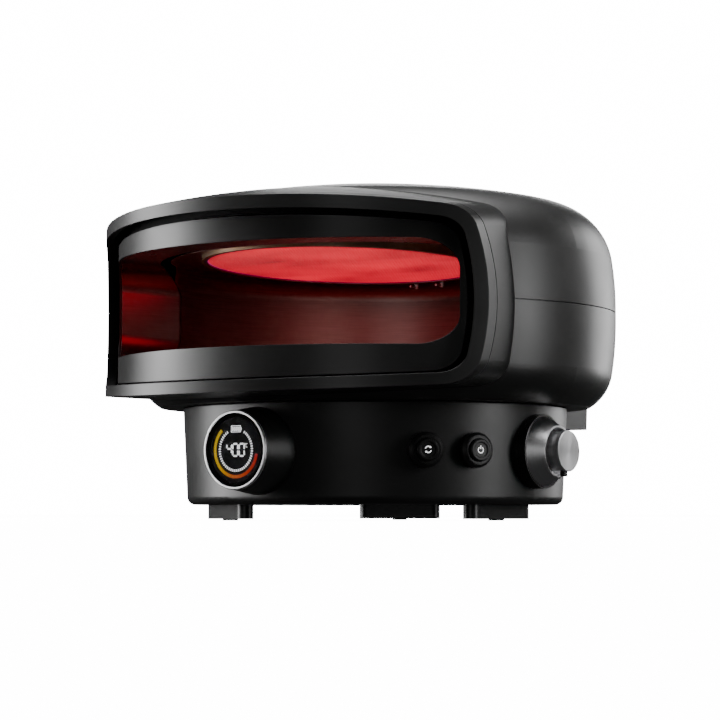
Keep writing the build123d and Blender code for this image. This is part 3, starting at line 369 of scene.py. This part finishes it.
def glowing_ceramic():
    """Burner tile at working heat: rows of small flame holes, drifting hot and cooler patches, blue rim."""
    low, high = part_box("burner_plaque")
    centre = ((low.x + high.x) / 2, (low.y + high.y) / 2, 0)
    radius = (high.x - low.x) / 2
    paint = Paint("ceramic_glow", (0.55, 0.32, 0.26), Roughness=0.9)
    offset = paint.vector("SUBTRACT", paint.place, centre)
    flat = paint.scaled((1, 1, 0), offset)
    cell = hex_cells(paint, flat, FLAME_HOLE_PITCH)
    holes = paint.span(cell, 0.16, 0.34, smooth=True)
    heat = paint.noise(paint.scaled((9.0, 22.0, 0.0)), detail=3, roughness=0.55, distortion=0.6)
    hot = paint.ramp(paint.span(heat, 0.3, 0.7), [
        (0.0, (0.34, 0.001, 0.020)), (0.35, (0.72, 0.003, 0.030)),
        (0.65, (1.00, 0.005, 0.040)), (1.0, (1.20, 0.012, 0.050))])
    cells = paint.mix(holes, (0.30, 0.02, 0.10), (1.0, 1.0, 1.0))
    glow = paint.node("ShaderNodeMix", data_type="RGBA", blend_type="MULTIPLY")
    glow.inputs["Factor"].default_value = 0.85
    paint.feed(glow.inputs[MIX_LOW], hot)
    paint.feed(glow.inputs[MIX_HIGH], cells)
    out = paint.vector("LENGTH", flat)
    edge = paint.span(out, radius - 3.2 * MM, radius - 0.4 * MM, smooth=True)
    paint.set("Emission Color", paint.mix(edge, glow.outputs[MIX_RESULT], (0.10, 0.04, 0.60)))
    paint.set("Emission Strength", paint.span(out, radius - 14 * MM, radius, 1.0, 0.75))
    paint.bump(holes, FLAME_HOLE_DEPTH)
    return paint.material


def heated_steel():
    """Burner frame: stainless that heat has turned straw, brown and blue towards the flame."""
    low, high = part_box("burner_plaque")
    centre = ((low.x + high.x) / 2, (low.y + high.y) / 2, 0)
    radius = (high.x - low.x) / 2
    paint = Paint("burner_metal", (0.4, 0.38, 0.37), Metallic=1.0)
    flat = paint.scaled((1, 1, 0), paint.vector("SUBTRACT", paint.place, centre))
    wander = paint.math("MULTIPLY", paint.noise(paint.scaled((60.0,) * 3), detail=3), 3 * MM)
    out = paint.math("ADD", paint.vector("LENGTH", flat), wander)
    paint.set("Base Color", paint.ramp(paint.span(out, radius - 3 * MM, radius + 9 * MM), [
        (0.0, (0.16, 0.16, 0.30)), (0.3, (0.28, 0.17, 0.24)),
        (0.6, (0.46, 0.33, 0.20)), (1.0, (0.42, 0.41, 0.40))]))
    lines = paint.noise(paint.scaled((700.0,) * 3), detail=3)
    paint.set("Roughness", paint.span(lines, 0.2, 0.8, 0.30, 0.45))
    paint.bump(lines, 0.01 * MM, rounding=0.3 * MM)
    return paint.material


def cordierite():
    """Fired stone: sandy tone, darker and paler specks, scorched towards the edge, open grain."""
    low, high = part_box("pizza_stone")
    paint = Paint("stone", (0.62, 0.52, 0.40), Specular_IOR_Level=0.25)
    grain = paint.noise(paint.scaled((420.0,) * 3), detail=6, roughness=0.7)
    patches = paint.noise(paint.scaled((16.0,) * 3), detail=4)
    base = paint.mix(paint.span(patches, 0.35, 0.7), (0.64, 0.54, 0.42), (0.48, 0.38, 0.28))
    speck = paint.node("ShaderNodeTexVoronoi", feature="F1")
    paint.feed(speck.inputs["Vector"], paint.scaled((260.0,) * 3))
    dots = paint.span(speck.outputs["Distance"], 0.10, 0.22, 1.0, 0.0)
    out = paint.vector("LENGTH", paint.scaled((1, 1, 0)))
    scorch = paint.math("MULTIPLY", paint.span(out, 0.7 * high.x, high.x), paint.span(patches, 0.3, 0.7))
    toned = paint.mix(paint.math("MULTIPLY", dots, 0.6), base, (0.22, 0.16, 0.12))
    paint.set("Base Color", paint.mix(paint.math("MULTIPLY", scorch, 0.7), toned, (0.17, 0.11, 0.07)))
    paint.set("Roughness", paint.span(grain, 0.3, 0.7, 0.82, 0.98))
    paint.bump(grain, 0.25 * MM, rounding=0.8 * MM)
    return paint.material


def ceramic_fibre():
    """Insulation blanket: matted white fibres."""
    paint = Paint("insulation", (0.72, 0.70, 0.66), Roughness=1.0, Sheen_Weight=0.3)
    strands = paint.noise(paint.scaled((900.0, 900.0, 150.0)), detail=8, roughness=0.75, distortion=1.5)
    paint.set("Base Color", paint.mix(paint.span(strands, 0.3, 0.7), (0.55, 0.53, 0.48), (0.80, 0.78, 0.74)))
    paint.bump(strands, 0.8 * MM)
    return paint.material


def rubber(name):
    paint = Paint(name, (0.018, 0.018, 0.018), Specular_IOR_Level=0.35)
    dust = paint.noise(paint.scaled((350.0,) * 3), detail=6, roughness=0.7)
    paint.set("Base Color", paint.mix(paint.span(dust, 0.5, 0.8), (0.014,) * 3, (0.045,) * 3))
    paint.set("Roughness", paint.span(dust, 0.3, 0.7, 0.72, 0.9))
    paint.bump(dust, 0.03 * MM, rounding=0.3 * MM)
    return paint.material


def circuit_board():
    """Solder mask with copper tracks under it and pads on it."""
    paint = Paint("board_green", (0.02, 0.16, 0.07), Roughness=0.35)
    tracks = paint.node("ShaderNodeTexBrick", offset=0.3, squash=0.6)
    paint.feed(tracks.inputs["Vector"], paint.scaled((220.0, 220.0, 220.0)))
    tracks.inputs["Mortar Size"].default_value = 0.03
    cell = paint.math("LESS_THAN", hex_cells(paint, paint.place, 3.2 * MM), 0.14)
    mask = paint.mix(tracks.outputs["Fac"], (0.012, 0.12, 0.05), (0.03, 0.24, 0.10))
    paint.set("Base Color", paint.mix(cell, mask, (0.62, 0.60, 0.55)))
    paint.bump(tracks.outputs["Fac"], 0.03 * MM)
    return paint.material


def cell_wrap():
    """Printed battery sleeve: dark body with a copper-coloured band."""
    low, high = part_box("battery_cells")
    paint = Paint("cell_wrap", (0.05, 0.06, 0.08), Roughness=0.25, Coat_Weight=0.6)
    out = paint.vector("LENGTH", paint.scaled((1, 1, 0)))
    reach = max(Vector((corner.x, corner.y, 0)).length for corner in (low, high))
    band = paint.math("LESS_THAN", out, reach - 48 * MM)
    creases = paint.noise(paint.scaled((120.0,) * 3), detail=3)
    paint.set("Base Color", paint.mix(band, (0.03, 0.035, 0.05), (0.52, 0.25, 0.08)))
    paint.bump(creases, 0.05 * MM)
    return paint.material


def smoked_glass():
    paint = Paint("display_glass", (0.78, 0.78, 0.80), Transmission_Weight=1.0, IOR=1.45)
    smears = paint.noise(paint.scaled((70.0,) * 3), detail=4, distortion=1.0)
    paint.set("Roughness", paint.span(smears, 0.35, 0.75, 0.0, 0.05))
    return paint.material


CELL_PITCH = 0.55 * MM


def dark_panel():
    """Face of the display: black film with a faint grid of unlit cells."""
    paint = Paint("display_panel", (0.006, 0.006, 0.007), Roughness=0.6)
    face = paint.vector("MULTIPLY", turned_flat(paint), (1, 1, 0))
    grid = paint.span(hex_cells(paint, face, CELL_PITCH), 0.2, 0.5)
    paint.set("Base Color", paint.mix(grid, (0.009, 0.009, 0.010), (0.004, 0.004, 0.005)))
    return paint.material


def turned_flat(paint):
    """The x and z of each point as a flat pair, for faces that look along y."""
    split = paint.node("ShaderNodeSeparateXYZ")
    paint.feed(split.inputs["Vector"], paint.place)
    joined = paint.node("ShaderNodeCombineXYZ")
    paint.feed(joined.inputs["X"], split.outputs["X"])
    paint.feed(joined.inputs["Y"], split.outputs["Z"])
    return joined.outputs["Vector"]


def middle(node):
    low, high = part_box(node)
    return (low + high) / 2


def node_materials():
    """Material of each CAD node, by the record's slot name."""
    knob = middle("gas_knob")
    across, lengthways, upright = (1, 0, 0), (0, 1, 0), (0, 0, 1)
    level = (30.0, 30.0, 1500.0)
    return {
        "satin_shell": satin_paint("satin_shell", (0.0125,) * 3, 0.36),
        "bezel_black": satin_paint("bezel_black", (0.012,) * 3, 0.34),
        "drum_black": satin_paint("drum_black", (0.0125,) * 3, 0.38),
        # Base colour far lighter than the other black paints: painted light, standing in for the back light that
        # falls on the rear box.
        "rear_box_black": satin_paint("rear_box_black", (0.07,) * 3, 0.5),
        # Near-black and duller than the paints around it: painted shade in the recessed groove.
        "groove_black": satin_paint("groove_black", (0.003,) * 3, 0.7, sheen=0.2),
        "throat_steel": sheet_steel("throat_steel", (0.46, 0.42, 0.40), 0.26, level,
                                    depth=0.002 * MM, smudge=0.04),
        # Red base colour and tint: painted reflection of the burner's red glow on the stainless cavity walls.
        "cavity_steel": sheet_steel("cavity_steel", (0.40, 0.27, 0.25), 0.36, level, tone_and_painted_glow=(0.36, 0.24, 0.22),
                                    depth=0.002 * MM, smudge=0.04),
        "insulation": ceramic_fibre(),
        "plated_steel": sheet_steel("plated_steel", (0.55, 0.55, 0.57), 0.35, (60.0, 900.0, 900.0),
                                    tone_and_painted_glow=(0.46, 0.46, 0.52)),
        "ceramic_glow": glowing_ceramic(),
        "burner_metal": heated_steel(),
        "probe_steel": sheet_steel("probe_steel", (0.6, 0.6, 0.6), 0.3, (900.0, 900.0, 60.0)),
        "pipe_metal": sheet_steel("pipe_metal", (0.70, 0.70, 0.71), 0.28, (120.0, 120.0, 800.0)),
        "brass": turned_metal("brass", (0.72, 0.52, 0.22), 0.28, middle("gas_inlet"), lengthways),
        "knob_black": moulded_plastic("knob_black", (0.010,) * 3, 0.34),
        "knob_steel": turned_metal("knob_steel", (0.78, 0.78, 0.79), 0.34, knob, across),
        "knob_face": turned_metal("knob_face", (0.90, 0.90, 0.91), 0.40, knob, across),
        "stone": cordierite(),
        "carrier_steel": sheet_steel("carrier_steel", (0.50, 0.49, 0.48), 0.36, (900.0, 60.0, 900.0)),
        "gear_plastic": moulded_plastic("gear_plastic", (0.82, 0.81, 0.76), 0.42),
        "pinion_steel": turned_metal("pinion_steel", (0.5, 0.5, 0.52), 0.3, middle("motor_pinion"),
                                     upright),
        "bronze": turned_metal("bronze", (0.55, 0.36, 0.18), 0.42, middle("shaft_bushes"), upright),
        "motor_steel": sheet_steel("motor_steel", (0.60, 0.60, 0.62), 0.3, (40.0, 40.0, 1200.0)),
        "base_black": moulded_plastic("base_black", (0.022,) * 3, 0.5),
        "gasket_rubber": rubber("gasket_rubber"),
        "screw_steel": turned_metal("screw_steel", (0.5, 0.5, 0.5), 0.3, (0, 0, 0), upright, rings=900.0),
        "foot_plastic": moulded_plastic("foot_plastic", (0.014,) * 3, 0.34),
        "display_black": moulded_plastic("display_black", (0.012,) * 3, 0.36),
        "display_trim": turned_metal("display_trim", (0.85, 0.85, 0.86), 0.34, middle("display_ring"),
                                     lengthways),
        "display_glass": smoked_glass(),
        "display_panel": dark_panel(),
        "board_green": circuit_board(),
        "cell_wrap": cell_wrap(),
        "button_black": moulded_plastic("button_black", (0.008,) * 3, 0.42),
        "spring_steel": sheet_steel("spring_steel", (0.6, 0.6, 0.6), 0.2, (400.0, 400.0, 400.0)),
    }


def dress_nodes():
    """Gives every CAD node the material of the slot that the record names for it."""
    made = node_materials()
    slots = {row["node"]: row["material_slot"] for row in frame["record"]["subparts"]}
    for name, piece in NODES.items():
        piece.data.materials.clear()
        piece.data.materials.append(made[slots[name]])


# ---- flat graphics --------------------------------------------------------------------------------
def arc_strip(radius, width, start, end, steps=6):
    """Outline of a bent bar. Angles in degrees, clockwise from straight up."""
    angles = [math.radians(start + (end - start) * i / steps) for i in range(steps + 1)]
    outer, inner = radius + width / 2, radius - width / 2
    far = [(outer * math.sin(a), outer * math.cos(a)) for a in angles]
    near = [(inner * math.sin(a), inner * math.cos(a)) for a in reversed(angles)]
    return far + near


def bar(x, y, width, tall):
    """Outline of an upright bar about its middle, with small chamfered corners."""
    cut = 0.22 * min(width, tall)
    w, t = width / 2, tall / 2
    corners = [(w - cut, t), (w, t - cut), (w, cut - t), (w - cut, -t),
               (cut - w, -t), (-w, cut - t), (-w, t - cut), (cut - w, t)]
    return [(x + u, y + v) for u, v in corners]


def flat_piece(name, outlines, azimuth, reach, height, depth, body, paint):
    """Thin solid plates with these outlines, lying on a face that looks away from the axis."""
    right, out = rightward(azimuth), outward(azimuth)
    build = bmesh.new()
    for outline in outlines:
        loops = []
        for level in (0.0, depth):
            spots = [u * right + (v + height) * UP + (reach + level) * out for u, v in outline]
            loops.append([build.verts.new(spot) for spot in spots])
        build.faces.new(loops[0])
        build.faces.new(loops[1])
        for i in range(len(outline)):
            j = (i + 1) % len(outline)
            build.faces.new((loops[0][i], loops[0][j], loops[1][j], loops[1][i]))
    bmesh.ops.recalc_face_normals(build, faces=build.faces)
    mesh = bpy.data.meshes.new(name)
    build.to_mesh(mesh)
    build.free()
    mesh.materials.append(paint)
    piece = bpy.data.objects.new(name, mesh)
    bpy.context.scene.collection.objects.link(piece)
    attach(piece, body)
    return piece


# ---- display ----------------------------------------------------------------------------------------
SEGMENTS = {"4": "bcfg", "0": "abcdef", "C": "adef"}


def digit(sign, x, y, width, tall, stroke):
    """Outlines of a seven-segment sign about its middle."""
    half_w, half_t, gap = width / 2, tall / 2, 0.35 * stroke
    side = half_t - stroke / 2 - gap
    spots = {
        "a": (0, half_t, width - stroke, stroke), "g": (0, 0, width - stroke, stroke),
        "d": (0, -half_t, width - stroke, stroke),
        "b": (half_w, half_t / 2, stroke, side), "f": (-half_w, half_t / 2, stroke, side),
        "c": (half_w, -half_t / 2, stroke, side), "e": (-half_w, -half_t / 2, stroke, side),
    }
    return [bar(x + u, y + v, w, t) for u, v, w, t in (spots[s] for s in SEGMENTS[sign])]


def light_paint(name, color, strength):
    """Lit print or segment: even glow with a faint unevenness of the diffuser behind it."""
    paint = Paint(name, color, Roughness=0.5)
    uneven = paint.noise(paint.scaled((1200.0,) * 3), detail=2)
    paint.set("Emission Color", color)
    paint.set("Emission Strength", paint.span(uneven, 0.3, 0.7, 0.9 * strength, strength))
    return paint.material


def scale_paint(name, centre, start, end):
    """Heat scale that runs from yellow through orange to red round the display."""
    paint = Paint(name, (0.05, 0.03, 0.005), Roughness=0.5)
    split = paint.node("ShaderNodeSeparateXYZ")
    paint.feed(split.inputs["Vector"], paint.vector("SUBTRACT", paint.place, tuple(centre)))
    turn = paint.math("ARCTAN2", split.outputs["X"], split.outputs["Z"])
    clockwise = paint.math("MODULO", paint.math("ADD", turn, 2 * math.pi), 2 * math.pi)
    share = paint.span(clockwise, math.radians(end), math.radians(start))
    paint.set("Emission Color", paint.ramp(share, [
        (0.0, (0.95, 0.62, 0.0)), (0.40, (0.95, 0.55, 0.0)),
        (0.58, (0.75, 0.14, 0.0)), (0.78, (0.70, 0.03, 0.0)), (1.0, (0.62, 0.0, 0.01))]))
    paint.set("Emission Strength", 0.75)
    return paint.material


DIAL_R, DIAL_W = 17.0 * MM, 2.1 * MM           # ring of white dashes
DIAL_OPEN = 28.0                               # degrees left open on each side of the top
DIAL_DASHES = 44
DASH_MARGIN = 0.25                             # gap before and after a dash, of its pitch
SCALE_R, SCALE_W = 22.0 * MM, 2.7 * MM         # coloured heat scale outside the dial
SCALE_START, SCALE_END = 99.0, 318.0           # degrees clockwise from the top
SCALE_BLOCKS = 62
BLOCK_SHARE = 0.86                             # a block's part of its pitch
GRAPHIC_GAP, GRAPHIC_DEPTH = 0.03 * MM, 0.10 * MM
DIGIT_STROKE = 1.45 * MM
# sign, middle across and up, width and height in millimetres
DIGITS = (("4", -7.0, 0.9, 5.0, 8.2), ("0", -0.6, 0.0, 5.4, 10.0), ("0", 6.2, 0.0, 5.4, 10.0))
UNIT_C = (11.6 * MM, 3.6 * MM, 1.7 * MM, 2.9 * MM, 0.5 * MM)
DEGREE_X, DEGREE_Z, DEGREE_R, DEGREE_W = 9.6 * MM, 4.9 * MM, 0.5 * MM, 0.35 * MM
BATTERY_Z, BATTERY_W, BATTERY_TALL, BATTERY_WALL = 17.3 * MM, 10.2 * MM, 5.6 * MM, 0.55 * MM
CHARGE_BARS, CHARGE_PITCH, CHARGE_W = 4, 2.15 * MM, 1.6 * MM
BATTERY_TIP_W, BATTERY_TIP_OUT = 0.9 * MM, 0.5 * MM


def dial_dashes():
    pitch = (360 - 2 * DIAL_OPEN) / DIAL_DASHES
    starts = [DIAL_OPEN + i * pitch for i in range(DIAL_DASHES)]
    return [arc_strip(DIAL_R, DIAL_W, a + DASH_MARGIN * pitch, a + (1 - DASH_MARGIN) * pitch, 2)
            for a in starts]


def scale_blocks():
    pitch = (SCALE_END - SCALE_START) / SCALE_BLOCKS
    return [arc_strip(SCALE_R, SCALE_W, SCALE_START + i * pitch, SCALE_START + (i + BLOCK_SHARE) * pitch, 2)
            for i in range(SCALE_BLOCKS)]


def unit_sign():
    """Small ring and letter of the degrees after the number."""
    ring = [arc_strip(DEGREE_R, DEGREE_W, start, start + 90) for start in range(0, 360, 90)]
    return digit("C", *UNIT_C) + [[(DEGREE_X + u, DEGREE_Z + v) for u, v in part] for part in ring]


def battery_sign():
    """Lying cell: four walls, a full set of charge bars, and the tip."""
    half_w, half_t = (BATTERY_W - BATTERY_WALL) / 2, (BATTERY_TALL - BATTERY_WALL) / 2
    parts = [bar(0, BATTERY_Z + side * half_t, BATTERY_W, BATTERY_WALL) for side in (-1, 1)]
    parts += [bar(side * half_w, BATTERY_Z, BATTERY_WALL, BATTERY_TALL) for side in (-1, 1)]
    charge_tall = BATTERY_TALL - 4 * BATTERY_WALL
    parts += [bar((i - (CHARGE_BARS - 1) / 2) * CHARGE_PITCH, BATTERY_Z, CHARGE_W, charge_tall)
              for i in range(CHARGE_BARS)]
    parts.append(bar(BATTERY_W / 2 + BATTERY_TIP_OUT, BATTERY_Z, BATTERY_TIP_W, 0.4 * BATTERY_TALL))
    return parts


def add_display():
    """Lit graphics of the display, on the panel behind the smoked glass."""
    low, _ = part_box("display_panel")
    height = middle("display_ring").z
    white = light_paint("segment_white", (0.95, 0.95, 0.95), 1.5)
    warm = scale_paint("segment_heat", (0, 0, height), SCALE_START, SCALE_END)
    signs = []
    for sign, *measures in DIGITS:
        signs += digit(sign, *(size * MM for size in measures), DIGIT_STROKE)
    for name, outlines, paint in (
            ("display_dial", dial_dashes(), white), ("display_heat_scale", scale_blocks(), warm),
            ("display_digits", signs, white), ("display_unit", unit_sign(), white),
            ("display_battery_icon", battery_sign(), white)):
        flat_piece(name, outlines, 0.0, GRAPHIC_GAP - low.y, height, GRAPHIC_DEPTH, "oven",
                   paint)


# ---- button icons --------------------------------------------------------------------------------------
DISH_DEPTH = 0.8 * MM
ICON_GAP, ICON_DEPTH = 0.01 * MM, 0.07 * MM
ARROW_R, ARROW_W, ARROW_HEAD = 2.55 * MM, 0.75 * MM, 1.05 * MM
ARROW_TURN = 108.0
POWER_R, POWER_W = 2.45 * MM, 0.62 * MM
POWER_OPEN = 32.0                              # degrees on each side of the top
POWER_BAR_Z, POWER_BAR = 2.2 * MM, 2.9 * MM


def cap_face(button):
    """(azimuth, reach, height) of the dished floor of a button's cap."""
    inward = Vector(JOINTS[button + "_press"]["axis"])
    out = -inward.normalized()
    cap = NODES[button + "_cap"]
    reach = max(vertex.co.dot(out) for vertex in cap.data.vertices)
    return math.atan2(out.x, -out.y), reach - DISH_DEPTH + ICON_GAP, middle(button + "_cap").z


def arrow_head(radius, angle, size):
    """Triangle at the clockwise end of a bent arrow."""
    turn = math.radians(angle)
    radial = Vector((math.sin(turn), math.cos(turn)))
    forward = Vector((math.cos(turn), -math.sin(turn)))
    spot = radius * radial
    corners = (spot + size * radial, spot + 1.3 * size * forward, spot - size * radial)
    return [tuple(corner) for corner in corners]


def add_icons():
    """Printed signs on the two buttons: turning arrows, and the power sign."""
    print_paint = light_paint("icon_white", (0.95, 0.95, 0.95), 1.6)
    arrows = []
    for start in (-72.0, 108.0):
        arrows.append(arc_strip(ARROW_R, ARROW_W, start, start + ARROW_TURN, 10))
        arrows.append(arrow_head(ARROW_R, start + ARROW_TURN, ARROW_HEAD))
    power = [arc_strip(POWER_R, POWER_W, POWER_OPEN, 360 - POWER_OPEN, 28)]
    power.append(bar(0, POWER_BAR_Z, POWER_W, POWER_BAR))
    for button, sign in (("rotate_button", arrows), ("power_button", power)):
        azimuth, reach, height = cap_face(button)
        flat_piece(button + "_icon", sign, azimuth, reach, height, ICON_DEPTH, button,
                   print_paint)


# ---- everything -------------------------------------------------------------------------------------------
def smooth_nodes():
    """Shades curved CAD faces smoothly and leaves their sharp edges sharp."""
    for piece in NODES.values():
        if not piece.data.has_custom_normals:
            piece.data.shade_smooth()


add_camera()
add_floor()
add_sky()
add_sun()
for box_name, numbers in SOFTBOXES.items():
    add_softbox(box_name, *numbers)
dress_nodes()
smooth_nodes()
add_display()
add_icons()
